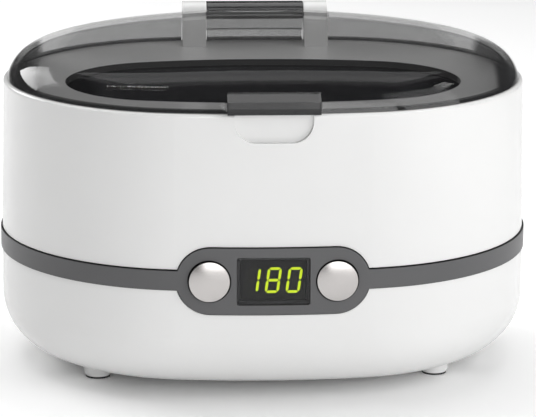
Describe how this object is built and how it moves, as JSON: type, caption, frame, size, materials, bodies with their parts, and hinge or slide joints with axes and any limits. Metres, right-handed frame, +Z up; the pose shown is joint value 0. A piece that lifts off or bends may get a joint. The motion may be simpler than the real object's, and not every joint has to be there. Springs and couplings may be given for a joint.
{
  "type": "ultrasonic cleaner",
  "caption": "Table-top ultrasonic cleaner: white oval housing with a dark band and control panel, steel tank, and a smoked hinged lid that lifts.",
  "frame": {"origin": "on the table, under the middle of the housing", "axes": "+X to the right of a person facing the control panel, -Y out of the control panel, +Z up"},
  "size_m": [0.208, 0.1587, 0.1335],
  "materials": {
    "white_shell": "glossy white moulded ABS",
    "dark_trim": "satin dark grey moulded plastic",
    "smoked_lid": "clear smoked grey moulded plastic, polished",
    "display_window": "dark tinted clear plastic",
    "button_plating": "bright plated cap",
    "rubber_feet": "black rubber",
    "tank_steel": "deep drawn polished stainless steel",
    "plain_steel": "plated steel",
    "aluminium": "machined or extruded aluminium",
    "ceramic": "fired piezo ceramic",
    "ferrite": "sintered ferrite",
    "copper": "enamelled copper winding or sheet",
    "contacts": "bright brass contact",
    "board_green": "solder-masked circuit board",
    "black_parts": "black moulded plastic",
    "film_yellow": "dipped film capacitor",
    "fuse_glass": "glass tube fuse",
    "segment_lit": "lit yellow-green diffuser",
    "segment_unlit": "dark unlit diffuser"
  },
  "bodies": {
    "housing": {"lower_housing": "white_shell", "upper_housing": "white_shell", "trim_band": "dark_trim", "display_window": "display_window", "foot_pads": "rubber_feet", "tank_gasket": "rubber_feet", "tank": "tank_steel", "housing_screws": "plain_steel", "display_screws": "plain_steel", "clamp_screws": "plain_steel", "board_screws": "plain_steel", "tank_clamps": "plain_steel", "hinge_pin": "plain_steel", "back_mass": "plain_steel", "stack_bolt": "plain_steel", "transducer_horn": "aluminium", "heat_sink": "aluminium", "bulk_capacitor": "aluminium", "piezo_rings": "ceramic", "transformer_core": "ferrite", "electrodes": "copper", "transformer_coil": "copper", "inductor": "copper", "inlet_pins": "contacts", "fuse_clips": "contacts", "main_board": "board_green", "display_board": "board_green", "power_inlet": "black_parts", "tact_switches": "black_parts", "power_transistors": "black_parts", "led_display": "black_parts", "film_capacitors": "film_yellow", "fuse": "fuse_glass", "lit_segments": "segment_lit", "unlit_segments": "segment_unlit"},
    "lid": {"lid": "smoked_lid"},
    "left_button": {"left_button": "button_plating"},
    "right_button": {"right_button": "button_plating"}
  },
  "joints": [
    {"name": "lid_hinge", "type": "hinge", "parent": "housing", "child": "lid", "pos_m": [0, 0.073, 0.1237], "axis": [-1, 0, 0], "range_deg": [0, 98]},
    {"name": "left_button_press", "type": "slide", "parent": "housing", "child": "left_button", "axis": [0, 1, 0], "range_m": [0, 0.0005], "stiffness_N_per_m": 2500},
    {"name": "right_button_press", "type": "slide", "parent": "housing", "child": "right_button", "axis": [0, 1, 0], "range_m": [0, 0.0005], "stiffness_N_per_m": 2500}
  ]
}
